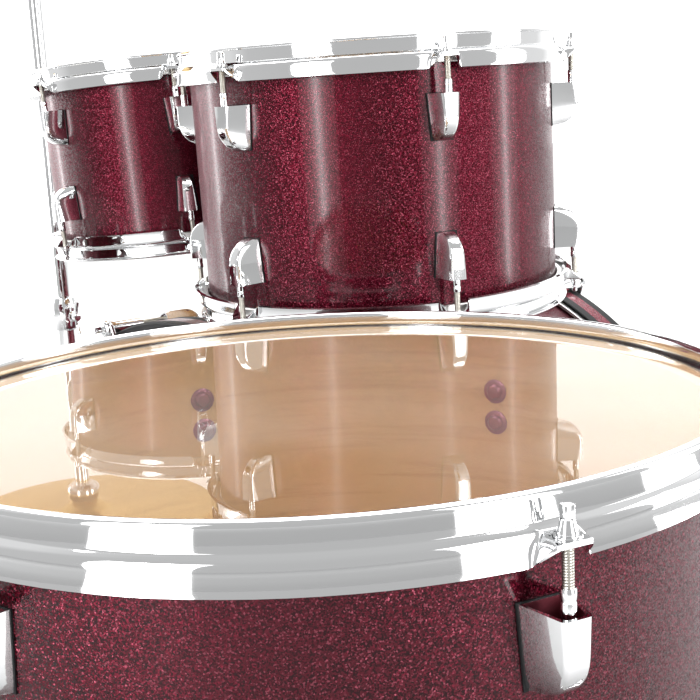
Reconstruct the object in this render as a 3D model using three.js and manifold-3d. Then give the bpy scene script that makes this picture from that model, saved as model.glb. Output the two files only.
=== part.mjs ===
// Five-piece style acoustic drum kit: bass drum, two mounted toms, floor tom,
// snare drum on its stand and a hi-hat stand, with the bass drum pedal.
// Millimetres, +Z up. X runs to the drummer's right, Y away from the drummer.
// Every drum is built about its own axis and then set in place.
import * as THREE from 'three';
import { mergeVertices } from 'three/addons/utils/BufferGeometryUtils.js';
import Module from 'manifold-3d';

const wasm = await Module();
wasm.setup();

const INCH = 25.4;
const DEG = Math.PI / 180;

// Plan position of the middle of the whole kit, subtracted at the end.
const KIT_CENTRE = new THREE.Vector2(2.06, -257.9);

// Shell diameters and depths.
const BASS = { radius: 11 * INCH, depth: 16 * INCH, lugs: 8, segments: 24 };
const FLOOR = { radius: 8 * INCH, depth: 16 * INCH, lugs: 6, segments: 24 };
const LOW_TOM = { radius: 6 * INCH, depth: 8 * INCH, lugs: 6, segments: 24 };
const HIGH_TOM = { radius: 5 * INCH, depth: 7 * INCH, lugs: 6, segments: 24 };
const SNARE = { radius: 7 * INCH, depth: 5.5 * INCH, lugs: 8, segments: 24 };

const WALL = 6.5;          // shell ply thickness
const GAP = 0.3;           // clearance between touching solids
const FILM = 1.0;          // drum head thickness
const RIM_RISE = 8;        // triple-flange rim above the head
const RIM_DROP = 26;       // rim to the lower edge of the hoop skirt
const EAR_REACH = 24;      // hoop ear beyond the shell
const EAR_DROP = 16;       // rim to the middle of the hoop ear
const LUG_DROP = 43;       // rim to the open end of the lug
const LUG = { width: 22, length: 34, reach: 23 };

// Bass drum hoops are flat wooden rings.
const BASS_HOOP = { outer: 8.6, inner: 2, width: 38 };
const BASS_AXIS_HEIGHT = BASS.radius + BASS_HOOP.outer;

// Where the drums stand: x, y, and the height of the middle of the shell.
const FLOOR_AT = [447, -441, 407.5];
const LOW_TOM_AT = [162.5, -119, 705];
const HIGH_TOM_AT = [-184, -104, 728];
const SNARE_AT = [-260, -570, 562];
const HIHAT_AT = [-495, -80];
const LOW_TOM_LUG_TURN = -24.3;
const HIGH_TOM_LUG_TURN = -27.7;
const FLOOR_LUG_TURN = -17.5;

// Tom holder.
const POST_LINE = 95;      // posts stand this far forward of the bass middle
const POST_SPACING = 62;
const POST_RADIUS = 12.7;
const ARM_RADIUS = 6.35;
const LOW_TOM_LEAN = 2.6 * DEG;
const HIGH_TOM_LEAN = 2.9 * DEG;
const ARM_DROP = 50;       // tom middle below the horizontal part of its arm

const LEG_RADIUS = 6.35;
const HIHAT_RADIUS = 7 * INCH;
const HIHAT_HEIGHT = 985;
const HIHAT_OPENING = 24;

const WINE = { color: 0x5a1026, roughness: 0.22, metalness: 0.35 };
const CHROME = { color: 0xd8dadd, roughness: 0.12, metalness: 1 };
const HEAD = { color: 0xe9e6df, roughness: 0.3, metalness: 0 };
const STEEL = { color: 0xaeb1b5, roughness: 0.35, metalness: 1 };
const RUBBER = { color: 0x17171a, roughness: 0.85, metalness: 0 };
const BRASS = { color: 0xc9a24a, roughness: 0.3, metalness: 1 };
const FELT = { color: 0xd9d4c8, roughness: 0.95, metalness: 0 };

const kit = new THREE.Group();

// ---- solids ---------------------------------------------------------------

function toSolid(geometry) {
  const plain = geometry.index ? geometry.toNonIndexed() : geometry.clone();
  plain.deleteAttribute('normal');
  plain.deleteAttribute('uv');
  const merged = mergeVertices(plain, 1e-4);
  const index = merged.index.array;
  const kept = [];
  for (let i = 0; i < index.length; i += 3) {
    const [a, b, c] = [index[i], index[i + 1], index[i + 2]];
    if (a !== b && b !== c && c !== a) kept.push(a, b, c);
  }
  const vertProperties = new Float32Array(merged.attributes.position.array);
  if (signedVolume(vertProperties, kept) < 0) kept.reverse();
  const mesh = { numProp: 3, vertProperties, triVerts: new Uint32Array(kept) };
  return new wasm.Manifold(new wasm.Mesh(mesh));
}

function signedVolume(vertices, index) {
  const corner = (i) => new THREE.Vector3().fromArray(vertices, 3 * index[i]);
  let volume = 0;
  for (let i = 0; i < index.length; i += 3) {
    volume += corner(i).dot(corner(i + 1).cross(corner(i + 2)));
  }
  return volume;
}

function toGeometry(solid) {
  const mesh = solid.getMesh();
  const geometry = new THREE.BufferGeometry();
  geometry.setAttribute('position', new THREE.BufferAttribute(mesh.vertProperties, 3));
  geometry.setIndex(new THREE.BufferAttribute(mesh.triVerts, 1));
  geometry.computeVertexNormals();
  return geometry;
}

function join(...geometries) {
  return toGeometry(geometries.map(toSolid).reduce((whole, next) => whole.add(next)));
}

function cut(geometry, ...tools) {
  return toGeometry(tools.map(toSolid).reduce((left, tool) => left.subtract(tool), toSolid(geometry)));
}

// A ring or disc turned about Z from [radius, height] pairs.
function turned(profile, segments) {
  const points = profile.map(([radius, height]) => new THREE.Vector2(radius, height));
  return new THREE.LatheGeometry(points, segments).rotateX(Math.PI / 2);
}

function ring(outer, inner, low, high, segments) {
  const profile = [[outer, low], [outer, high], [inner, high], [inner, low], [outer, low]];
  return turned(profile, segments);
}

function disc(radius, low, high, segments) {
  return turned([[0, low], [radius, low], [radius, high], [0, high]], segments);
}

function box(x, y, z, at = [0, 0, 0]) {
  return new THREE.BoxGeometry(x, y, z).translate(...at);
}

function ball(radius, at, segments = 8) {
  return new THREE.SphereGeometry(radius, segments, segments / 2).translate(...at);
}

// A round bar between two points.
function bar(from, to, radius, segments = 12, endRadius = radius) {
  const [start, end] = [new THREE.Vector3(...from), new THREE.Vector3(...to)];
  const along = end.clone().sub(start);
  const geometry = new THREE.CylinderGeometry(endRadius, radius, along.length(), segments);
  const turn = new THREE.Quaternion().setFromUnitVectors(
    new THREE.Vector3(0, 1, 0), along.clone().normalize());
  const middle = start.add(end).multiplyScalar(0.5);
  return geometry.applyQuaternion(turn).translate(middle.x, middle.y, middle.z);
}

// A bar through several points, rounded at each corner.
function bentBar(points, radius, segments = 8) {
  const pieces = [];
  for (let i = 0; i + 1 < points.length; i += 1) {
    pieces.push(bar(points[i], points[i + 1], radius, segments));
    if (i > 0) pieces.push(ball(radius * 1.1, points[i], 6));
  }
  return join(...pieces);
}

function aroundZ(geometry, degrees) {
  return geometry.clone().rotateZ(degrees * DEG);
}

function add(parent, name, geometry, finish) {
  const mesh = new THREE.Mesh(geometry, new THREE.MeshStandardMaterial(finish));
  mesh.name = name;
  parent.add(mesh);
  return mesh;
}

function groupAt(parent, position, turnZ = 0) {
  const group = new THREE.Group();
  group.position.set(...position);
  group.rotation.z = turnZ * DEG;
  parent.add(group);
  return group;
}

// ---- drum pieces, about Z with the middle of the shell at the origin --------

// Side view of a lug: flat outer end with the rod socket, rounded inner end.
function lug(drum, flip, length = LUG.length) {
  const top = drum.depth / 2 + FILM + GAP + RIM_RISE - LUG_DROP;
  const shape = new THREE.Shape();
  shape.moveTo(0, 0);
  shape.lineTo(LUG.reach, 0);
  shape.lineTo(LUG.reach, -length * 0.55);
  shape.lineTo(LUG.reach * 0.4, -length);
  shape.lineTo(0, -length);
  const body = new THREE.ExtrudeGeometry(shape, { depth: LUG.width, bevelEnabled: false });
  body.translate(0, 0, -LUG.width / 2).rotateX(Math.PI / 2).translate(drum.radius - 3, 0, top);
  return flip ? body.scale(1, 1, -1) : body;
}

function shell(drum, turn, lugLength) {
  const half = drum.depth / 2;
  const inner = drum.radius - WALL;
  const tube = ring(drum.radius, inner, -half, half, drum.segments);
  const lugs = [];
  for (let i = 0; i < drum.lugs; i += 1) {
    const at = turn + (360 * i) / drum.lugs;
    lugs.push(aroundZ(lug(drum, false, lugLength), at), aroundZ(lug(drum, true, lugLength), at));
  }
  return cut(join(aroundZ(tube, turn), ...lugs), disc(inner, -half - 5, half + 5, drum.segments).rotateZ(turn * DEG));
}

// Film stretched over the bearing edge, with its metal band outside the shell.
function head(drum, turn) {
  const edge = drum.depth / 2 + GAP;
  const r = drum.radius;
  const profile = [
    [0, edge], [r + 0.7, edge], [r + 0.7, edge - 13], [r + 5.2, edge - 13],
    [r + 5.2, edge - 5.4], [r + 2.4, edge - 4.6], [r + 1.8, edge + FILM], [0, edge + FILM],
  ];
  return aroundZ(turned(profile, drum.segments), turn);
}

// Triple-flange hoop with an ear at each tension rod.
function hoop(drum, turn) {
  const rim = drum.depth / 2 + GAP + FILM + RIM_RISE;
  const r = drum.radius;
  const profile = [
    [r + 3, rim], [r + 9, rim], [r + 6, rim - 5], [r + 8.4, rim - 14], [r + 12, rim - RIM_DROP],
    [r + 8.4, rim - RIM_DROP], [r + 5.9, rim - 13.8], [r + 3, rim - 12.6], [r + 3, rim],
  ];
  const ears = [];
  for (let i = 0; i < drum.lugs; i += 1) {
    const ear = box(EAR_REACH - 8, 22, 3.5, [r + (EAR_REACH + 8) / 2, 0, rim - EAR_DROP]);
    ears.push(aroundZ(ear, turn + (360 * i) / drum.lugs));
  }
  return join(aroundZ(turned(profile, drum.segments), turn), ...ears);
}

function addDrum(parent, name, drum, turn, heads, lugLength) {
  add(parent, `${name}_shell`, shell(drum, turn, lugLength), WINE);
  const mirrored = (geometry) => toGeometry(toSolid(geometry).mirror([0, 0, 1]));
  add(parent, `${name}_batter_head`, head(drum, turn), heads);
  add(parent, `${name}_bottom_head`, mirrored(head(drum, turn)), heads);
  add(parent, `${name}_batter_hoop`, hoop(drum, turn), CHROME);
  add(parent, `${name}_bottom_hoop`, mirrored(hoop(drum, turn)), CHROME);
}

// ---- bass drum --------------------------------------------------------------

function bassShellGeometry() {
  const upright = shell(BASS, 22.5, 44);
  const lying = upright.rotateX(-Math.PI / 2).rotateY(90 * DEG);
  const holes = [-1, 1].map((side) => {
    const x = (side * POST_SPACING) / 2;
    return bar([x, POST_LINE, BASS.radius - 40], [x, POST_LINE, BASS.radius + 10], POST_RADIUS + 3, 12);
  });
  return cut(lying, ...holes);
}

function addBassDrum() {
  const bass = groupAt(kit, [0, 0, BASS_AXIS_HEIGHT]);
  add(bass, 'bass_shell', bassShellGeometry(), WINE);
  const half = BASS.depth / 2;
  const r = BASS.radius;
  const edge = half + GAP;
  const headProfile = [
    [0, edge], [r + 0.7, edge], [r + 0.7, edge - 11], [r + 6, edge - 11], [r + 6, edge - 1],
    [r, edge + FILM], [0, edge + FILM],
  ];
  const hoopLow = edge - 8;
  const hoopProfile = [
    [r + BASS_HOOP.outer, hoopLow], [r + BASS_HOOP.outer, hoopLow + BASS_HOOP.width],
    [r - BASS_HOOP.inner, hoopLow + BASS_HOOP.width], [r - BASS_HOOP.inner, edge + FILM + GAP],
    [r + 0.5, edge + FILM + GAP], [r + 6.6, edge - 0.5], [r + 6.6, hoopLow],
    [r + BASS_HOOP.outer, hoopLow],
  ];
  const place = (profile, side) => aroundZ(turned(profile, BASS.segments), 22.5).rotateX(side * Math.PI / 2);
  add(bass, 'bass_batter_head', place(headProfile, 1), HEAD);
  add(bass, 'bass_front_head', place(headProfile, -1), HEAD);
  add(bass, 'bass_batter_hoop', place(hoopProfile, 1), WINE);
  add(bass, 'bass_front_hoop', place(hoopProfile, -1), WINE);
  for (const [name, side] of [['left', -1], ['right', 1]]) {
    const angle = 24 * DEG;
    const at = [side * (r + 13) * Math.cos(angle), 90, -(r + 13) * Math.sin(angle)];
    const turn = side > 0 ? angle : -angle;
    const block = box(24, 46, 62).rotateY(turn).translate(...at);
    const shellBore = bar([0, 60, 0], [0, 160, 0], r + 10 * GAP, BASS.segments);
    const pivot = [at[0] + side * 34, at[1], at[2]];
    add(bass, `spur_bracket_${name}`, cut(block, shellBore), CHROME);
    const foot = [side * (r + 95), 245, 11.2 - BASS_AXIS_HEIGHT];
    const hub = bar([pivot[0] - side * 9, pivot[1], pivot[2]], [pivot[0] + side * 9, pivot[1], pivot[2]], 17, 16);
    const leg = join(hub, bar(pivot, foot, LEG_RADIUS, 8), ball(11, foot));
    add(bass, `bass_spur_${name}`, leg, CHROME);
  }
}

// ---- tom holder and toms -----------------------------------------------------

function addTomMount() {
  const top = BASS_AXIS_HEIGHT + BASS.radius;
  const plate = box(POST_SPACING + 66, 74, 26, [0, POST_LINE, top + 1]);
  const sockets = [];
  const bores = [];
  for (const side of [-1, 1]) {
    const x = (side * POST_SPACING) / 2;
    sockets.push(bar([x, POST_LINE, top - 4], [x, POST_LINE, top + 52], 21, 16));
    bores.push(bar([x, POST_LINE, top - 60], [x, POST_LINE, top + 60], POST_RADIUS + 0.6, 16));
  }
  const over = bar([0, POST_LINE - 60, BASS_AXIS_HEIGHT], [0, POST_LINE + 60, BASS_AXIS_HEIGHT],
    BASS.radius + 10 * GAP, BASS.segments);
  add(kit, 'tom_mount', cut(join(plate, ...sockets), over, ...bores), CHROME);
}

function addMountedTom(side, name, drum, at, lean, lugTurn) {
  const postX = (side * POST_SPACING) / 2;
  const toTom = new THREE.Vector2(at[0] - postX, at[1] - POST_LINE);
  const reach = toTom.length();
  const heading = toTom.angle() / DEG;
  const pivotHeight = at[2] + ARM_DROP + reach * Math.sin(lean);
  const shellTop = BASS_AXIS_HEIGHT + BASS.radius;
  const postTop = pivotHeight - 34;
  add(kit, `${name}_post`, bar([postX, POST_LINE, shellTop - 110], [postX, POST_LINE, postTop], POST_RADIUS, 16), CHROME);

  const swivel = groupAt(kit, [postX, POST_LINE, pivotHeight], heading);
  const cap = bar([0, 0, -48], [0, 0, -18], 19, 16);
  const bore = bar([0, 0, -60], [0, 0, -33.6], POST_RADIUS + 0.6, 16);
  const cheeks = [-1, 1].map((hand) => join(
    box(30, 6, 20, [0, hand * 15.5, -10]), bar([0, hand * 12.5, 0], [0, hand * 18.5, 0], 15, 12)));
  const crown = box(30, 37, 6, [0, 0, -19.5]);
  add(swivel, `${name}_swivel`, cut(join(cap, crown, ...cheeks), bore), CHROME);

  const tilt = new THREE.Group();
  tilt.rotation.y = lean;
  swivel.add(tilt);
  const barrel = bar([0, -12, 0], [0, 12, 0], 13.5, 12);
  const block = box(36, 23, 25, [26, 0, 0]);
  const armBore = bar([9, 0, 0], [60, 0, 0], ARM_RADIUS + 0.5, 12);
  add(tilt, `${name}_tilter`, cut(join(barrel, block), armBore), CHROME);
  const rodX = reach - drum.radius - 25;
  const arm = bentBar([[10, 0, 0], [rodX, 0, 0], [rodX, 0, -ARM_DROP - 34]], ARM_RADIUS);
  add(tilt, `${name}_arm`, arm, CHROME);

  const tom = groupAt(tilt, [reach, 0, -ARM_DROP], 0);
  addDrum(tom, name, drum, lugTurn - heading, HEAD, LUG.length);
  const bracketBlock = box(34, 38, 42, [-drum.radius - 21, 0, 0]);
  const bracketBore = bar([-drum.radius - 25, 0, -40], [-drum.radius - 25, 0, 40], ARM_RADIUS + 0.5, 12);
  const shellRound = disc(drum.radius + 1, -40, 40, drum.segments);
  add(tom, `${name}_bracket`, cut(bracketBlock, bracketBore, shellRound), CHROME);
}

// ---- floor tom ----------------------------------------------------------------

function addFloorTom() {
  const floorTom = groupAt(kit, FLOOR_AT);
  addDrum(floorTom, 'floor_tom', FLOOR, FLOOR_LUG_TURN, HEAD, LUG.length);
  const floorLevel = -FLOOR_AT[2];
  const legAt = FLOOR.radius + 27;
  for (let i = 0; i < 3; i += 1) {
    const turn = FLOOR_LUG_TURN + 30 + 120 * i;
    const block = box(36, 34, 58, [FLOOR.radius + 22, 0, -52]);
    const bore = bar([legAt, 0, -100], [legAt, 0, 0], LEG_RADIUS + 0.5, 12);
    const shellRound = disc(FLOOR.radius + 1, -100, 0, FLOOR.segments);
    add(floorTom, `leg_bracket_${i + 1}`, aroundZ(cut(block, bore, shellRound), turn), CHROME);
    const knee = floorLevel + 150;
    const footX = legAt + 34;
    const leg = bentBar([[legAt, 0, 40], [legAt, 0, knee], [footX, 0, floorLevel + 60],
      [footX, 0, floorLevel + 12]], LEG_RADIUS);
    add(floorTom, `leg_${i + 1}`, aroundZ(leg, turn), CHROME);
    const foot = turned([[0, 0], [16, 0], [13, 34], [10, 40], [0, 40]], 12);
    const socket = disc(LEG_RADIUS + 0.5, 11, 50, 12);
    add(floorTom, `foot_${i + 1}`,
      aroundZ(cut(foot, socket).translate(footX, 0, floorLevel), turn), RUBBER);
  }
}

// ---- snare drum and stand --------------------------------------------------------

function tripod(height, spread, legRadius, turns) {
  return turns.map((turn) => {
    const foot = [spread, 0, 14];
    const upper = bar([6, 0, height], foot, legRadius, 8);
    const brace = bar([6, 0, height * 0.45], [spread * 0.55, 0, 14 + (height - 14) * 0.45], legRadius * 0.7, 6);
    return aroundZ(join(upper, brace, ball(14, foot, 6)), turn);
  });
}

function addSnare() {
  const snare = groupAt(kit, SNARE_AT);
  addDrum(snare, 'snare', SNARE, 0, HEAD, 26);
  const low = -SNARE.depth / 2 - GAP - FILM;
  add(snare, 'snare_wires', box(300, 42, 1.6, [0, 0, low - GAP - 0.8]), STEEL);
  const lever = join(box(9, 22, 52, [SNARE.radius + 9.5, 0, 6]), box(20, 12, 8, [SNARE.radius + 22, 0, 28]));
  add(snare, 'strainer_lever', aroundZ(lever, 202.5), CHROME);

  const stand = groupAt(kit, [SNARE_AT[0], SNARE_AT[1], 0]);
  const rest = SNARE_AT[2] - SNARE.depth / 2 - 14;
  const arms = [40, 160, 280].map((turn) => {
    const path = [[0, 0, rest - 88], [SNARE.radius + 20, 0, rest - 26], [SNARE.radius + 20, 0, rest + 12]];
    return aroundZ(bentBar(path, 6, 10), turn);
  });
  const pole = bar([0, 0, 60], [0, 0, rest - 84], 11, 14);
  const collar = bar([0, 0, 250], [0, 0, 284], 17, 14);
  const hub = bar([0, 0, rest - 100], [0, 0, rest - 76], 18, 14);
  add(stand, 'snare_stand', join(pole, collar, hub, ...arms, ...tripod(235, 225, 6, [100, 220, 340])), CHROME);
}

// ---- hi-hat -------------------------------------------------------------------------

function cymbal(radius, flip) {
  const bow = [
    [6, 20], [18, 19], [36, 10], [120, 4.5], [radius, 0], [radius, -1.2], [120, 3.1],
    [35, 8.4], [17, 17.2], [6, 18.2], [6, 20],
  ];
  const turnedBow = turned(bow, 24);
  return flip ? toGeometry(toSolid(turnedBow).mirror([0, 0, 1])) : toGeometry(toSolid(turnedBow));
}

function addHiHat() {
  const hat = groupAt(kit, [HIHAT_AT[0], HIHAT_AT[1], 0]);
  const seat = HIHAT_HEIGHT - 26;
  const lower = bar([0, 0, 120], [0, 0, 520], 12.7, 16);
  const upper = bar([0, 0, 500], [0, 0, seat], 9.5, 16);
  const clamp = bar([0, 0, 500], [0, 0, 544], 18, 16);
  const cup = bar([0, 0, seat - 16], [0, 0, seat - 2], 22, 16);
  const collar = bar([0, 0, 262], [0, 0, 300], 20, 16);
  const frame = join(box(10, 60, 116, [44, 0, 63]), box(10, 60, 116, [-44, 0, 63]), box(98, 60, 12, [0, 0, 122]));
  const base = box(110, 330, 6, [0, -180, 3]);
  const bore = bar([0, 0, 110], [0, 0, seat + 10], 4.2, 12);
  const stand = join(lower, upper, clamp, cup, collar, frame, base,
    ...tripod(285, 240, 6.5, [90, 210, 330]));
  add(hat, 'hihat_stand', cut(stand, bore), CHROME);

  add(hat, 'hihat_bottom_cymbal', cymbal(HIHAT_RADIUS, true).translate(0, 0, HIHAT_HEIGHT), BRASS);
  const topAt = HIHAT_HEIGHT + HIHAT_OPENING;
  add(hat, 'hihat_top_cymbal', cymbal(HIHAT_RADIUS, false).translate(0, 0, topAt), BRASS);
  const rod = join(bar([0, 0, 96], [0, 0, topAt + 120], 3.2, 8),
    bar([0, 0, topAt + 21], [0, 0, topAt + 58], 10, 10), bar([0, 0, topAt + 10], [0, 0, topAt + 17], 12, 10));
  add(hat, 'hihat_pull_rod', rod, CHROME);
  add(hat, 'hihat_footboard', footboard(-340, -36, 16, 84), CHROME);
}

// A pedal plate rising from its heel hinge to the toe.
function footboard(heelY, toeY, heelZ, toeZ) {
  const length = Math.hypot(toeY - heelY, toeZ - heelZ);
  const plate = box(76, length, 6, [0, length / 2, 0]);
  const hinge = bar([-38, 0, 0], [38, 0, 0], 6, 12);
  const lip = box(76, 6, 14, [0, length - 3, 6]);
  return join(plate, hinge, lip).rotateX(Math.atan2(toeZ - heelZ, toeY - heelY)).translate(0, heelY, heelZ);
}

// ---- bass drum pedal ---------------------------------------------------------------------

function addPedal() {
  const hoopBack = -(BASS.depth / 2 + GAP - 8 + BASS_HOOP.width);
  const axleY = hoopBack - 34;
  const pedal = groupAt(kit, [0, axleY, 0]);
  const posts = [-1, 1].map((side) => box(12, 26, 160, [side * 50, 0, 80]));
  const base = box(112, 330, 6, [0, -150, 3]);
  const riser = box(40, 14, 22, [0, 20, 11]);
  const jaw = box(40, 38, 8, [0, 32, 19.6]);
  add(pedal, 'pedal_frame', join(base, riser, jaw, ...posts), CHROME);
  add(pedal, 'pedal_footboard', footboard(-300, -34, 18, 92), CHROME);
  const axle = bar([-43.6, 0, 150], [43.6, 0, 150], 7, 12);
  const cam = bar([-9, 0, 150], [9, 0, 150], 26, 14);
  const tip = [0, -104, 150 + 150];
  const shaft = bar([0, 0, 150], tip, 4, 10);
  const felt = bar([0, tip[1] - 14, tip[2] - 10], [0, tip[1] + 14, tip[2] + 10], 24, 14);
  add(pedal, 'pedal_beater', join(axle, cam, shaft, felt), FELT);
}

addBassDrum();
addTomMount();
addMountedTom(1, 'low_tom', LOW_TOM, LOW_TOM_AT, LOW_TOM_LEAN, LOW_TOM_LUG_TURN);
addMountedTom(-1, 'high_tom', HIGH_TOM, HIGH_TOM_AT, HIGH_TOM_LEAN, HIGH_TOM_LUG_TURN);
addFloorTom();
addSnare();
addHiHat();
addPedal();
kit.position.set(-KIT_CENTRE.x, -KIT_CENTRE.y, 0);

export default kit;
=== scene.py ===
# Looks for the drum kit: every CAD piece gets a finely modelled counterpart in the same frame.
import math

import bmesh
import bpy
import numpy as np
from mathutils import Matrix, Vector


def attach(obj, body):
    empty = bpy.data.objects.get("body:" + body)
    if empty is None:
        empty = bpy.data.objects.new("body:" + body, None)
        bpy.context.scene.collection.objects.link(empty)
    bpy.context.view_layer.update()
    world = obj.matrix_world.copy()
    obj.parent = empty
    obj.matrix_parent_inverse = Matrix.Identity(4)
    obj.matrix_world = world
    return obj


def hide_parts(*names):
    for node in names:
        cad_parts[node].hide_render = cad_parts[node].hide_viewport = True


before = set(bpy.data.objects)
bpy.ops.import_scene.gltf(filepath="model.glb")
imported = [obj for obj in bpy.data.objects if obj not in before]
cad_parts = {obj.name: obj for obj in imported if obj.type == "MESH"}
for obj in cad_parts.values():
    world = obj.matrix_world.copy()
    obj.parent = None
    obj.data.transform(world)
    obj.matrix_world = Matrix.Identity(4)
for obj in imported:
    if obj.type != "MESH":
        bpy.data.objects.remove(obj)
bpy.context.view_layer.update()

# Lengths are in mm.
INCH = 25.4
MM = 0.001
KIT_CENTRE = (2.06, -257.9)     # plan point that sits at the frame's origin

RIM = 9.3                       # rim above the end of the shell
EAR = 16.0                      # ear below the rim
EAR_REACH = 18.0                # finely divided stretch of hoop, each side of a rod
HOOP_GAUGE = 2.2
LUG_DROP = 43.0                 # open end of the lug below the rim
LUG_LENGTH, SNARE_LUG_LENGTH = 34.0, 26.0
LUG_SCREWS = (0.2, 0.2 + 21 / 34)   # each screw's place along the lug, as a share of its length
WALL = 6.5
ROD_CIRCLE = 16.0               # rods outside the shell
HEAD_LIFT = 1.3                 # head above the end of the shell
SEGMENTS = 168

BASS_R, BASS_L = 11 * INCH, 16 * INCH
BASS_AXIS = BASS_R + 8.6
BASS_TOP = BASS_AXIS + BASS_R
SPUR_BELOW = 24                 # spur brackets' angle below the axis, in degrees
POST_LINE, POST_SPACING = 95.0, 62.0
ARM_DROP = 50.0                 # tom's middle below its arm
BAR_R = 6.35                    # radius of the tom arms, spurs and legs

LOW_TOM_MIDDLE, HIGH_TOM_MIDDLE = (162.5, -119, 705), (-184, -104, 728)
FLOOR_TOM_MIDDLE, FLOOR_TOM_TURN = (447, -441, 407.5), -17.5
SNARE_R, SNARE_DEPTH = 7 * INCH, 5.5 * INCH
SNARE_MIDDLE = (-260, -570, 562)
HAT = (-495.0, -80.0)
HAT_HEIGHT, HAT_GAP, HAT_R = 985.0, 24.0, 7 * INCH
HAT_SEAT = HAT_HEIGHT - 26      # where the stand's cup holds the lower cymbal's felt


def at(x=0.0, y=0.0, z=0.0):
    return Matrix.Translation((x, y, z))


def turn(axis, degrees):
    return Matrix.Rotation(math.radians(degrees), 4, axis)


def along(start, end):
    """Turns z to point from start to end."""
    return (end - start).normalized().to_track_quat("Z", "Y").to_matrix().to_4x4()


HERE = Matrix.Identity(4)
FLIP = Matrix.Diagonal((1, 1, -1, 1))
KIT = at(-KIT_CENTRE[0], -KIT_CENTRE[1], 0)


# ---- materials ----

class Shading:
    """Builds the node tree of a material or a world."""

    def __init__(self, owner):
        self.owner = owner
        owner.use_nodes = True
        self.nodes, self.links = owner.node_tree.nodes, owner.node_tree.links
        self.nodes.clear()

    def feed(self, socket, value):
        """Sets a socket to a value, or joins it to another socket or to a node's first output."""
        if isinstance(value, bpy.types.Node):
            value = value.outputs[0]
        if isinstance(value, bpy.types.NodeSocket):
            self.links.new(value, socket)
        else:
            socket.default_value = value

    def node(self, kind, *inputs, **settings):
        """Inputs come in the node's own order; settings name its properties or its other inputs."""
        made = self.nodes.new("ShaderNode" + kind)
        for key, value in settings.items():
            if hasattr(made, key):
                setattr(made, key, value)
            else:
                self.feed(made.inputs[key.replace("_", " ")], value)
        for socket, value in zip(made.inputs, inputs):
            self.feed(socket, value)
        return made

    def principled(self, **values):
        """Ends the tree with one principled shader, and gives the material."""
        self.node("OutputMaterial", self.node("BsdfPrincipled", **values))
        return self.owner

    def where(self, **mapping):
        """Object coordinates."""
        return self.node("Mapping", self.node("TexCoord").outputs["Object"], **mapping)

    def noise(self, scale, detail):
        return self.node("TexNoise", self.where(), Scale=scale, Detail=detail)

    def ramp(self, source, *stops):
        """Each stop is a place and a colour, or a place and one number for a grey."""
        made = self.node("ValToRGB", source)
        elements = made.color_ramp.elements
        while len(elements) < len(stops):
            elements.new(0.5)
        for element, (place, shade) in zip(elements, stops):
            element.position = place
            element.color = (*shade, 1) if isinstance(shade, tuple) else (shade, shade, shade, 1)
        return made

    def bump(self, height, strength, distance):
        return self.node("Bump", Strength=strength, Distance=distance, Height=height)


def new_material(name):
    return Shading(bpy.data.materials.new(name))


def sparkle(name, dark, mid, bright):
    """Glitter flakes under a clear gloss coat: each cell has its own colour and its own tilt."""
    tree = new_material(name)
    flakes = tree.node("TexVoronoi", tree.where(), Scale=1650.0).outputs["Color"]
    colour = tree.ramp(tree.node("SeparateColor", flakes), (0.0, dark), (0.3, dark), (0.5, mid), (0.84, mid),
                       (0.96, bright), (1.0, bright))
    lean = tree.node("VectorMath", flakes, (0.5, 0.5, 0.5), (-0.25, -0.25, -0.25), operation="MULTIPLY_ADD")
    normal = tree.node("NewGeometry").outputs["Normal"]
    tilted = tree.node("VectorMath", normal, lean, operation="ADD")
    unit = tree.node("VectorMath", tilted, operation="NORMALIZE")
    return tree.principled(Metallic=1.0, Roughness=0.38, Coat_Weight=0.32, Coat_Roughness=0.09,
                           Base_Color=colour, Normal=unit)


def metal(name, colour, rough, spread, scale=60.0):
    """Plated or cast metal whose polish varies a little from place to place."""
    tree = new_material(name)
    low, high = max(0.0, rough - spread / 2), rough + spread / 2
    polish = tree.ramp(tree.noise(scale, 4.0), (0.3, low), (0.7, high))
    return tree.principled(Metallic=1.0, Base_Color=(*colour, 1), Roughness=polish)


def threaded(name, axis):
    """Steel rod with a fine screw thread across the given axis."""
    tree = new_material(name)
    wave = tree.node("TexWave", tree.where(), wave_type="BANDS", bands_direction=axis, Scale=300.0)
    thread = tree.bump(wave.outputs["Color"], 0.55, 0.0004)
    return tree.principled(Metallic=1.0, Base_Color=(0.44, 0.42, 0.375, 1), Roughness=0.3, Normal=thread)


def clear_film(name):
    """Clear polyester with a little haze: it mirrors more at a glancing angle and lets the rest through."""
    tree = new_material(name)
    through = tree.node("BsdfTransparent", (0.97, 0.965, 0.95, 1))
    haze = tree.node("BsdfPrincipled", Base_Color=(0.95, 0.93, 0.9, 1), Roughness=0.6)
    cloud = tree.ramp(tree.noise(9.0, 3.0), (0.3, 0.012), (0.8, 0.045))
    milky = tree.node("MixShader", cloud, through, haze)
    facing = tree.node("LayerWeight", Blend=0.5).outputs["Facing"]
    glance = tree.node("Math", facing, 5.0, operation="POWER")
    share = tree.node("Math", glance, 0.8, 0.055, operation="MULTIPLY_ADD")
    mirror = tree.node("BsdfGlossy", Roughness=0.012)
    tree.node("OutputMaterial", tree.node("MixShader", share, milky, mirror))
    return tree.owner


def coated(name, colour):
    """Sprayed-on coating with a fine tooth."""
    tree = new_material(name)
    tooth = tree.bump(tree.noise(1400.0, 3.0), 0.25, 0.0003)
    return tree.principled(Base_Color=(*colour, 1), Roughness=0.55, Normal=tooth)


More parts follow.
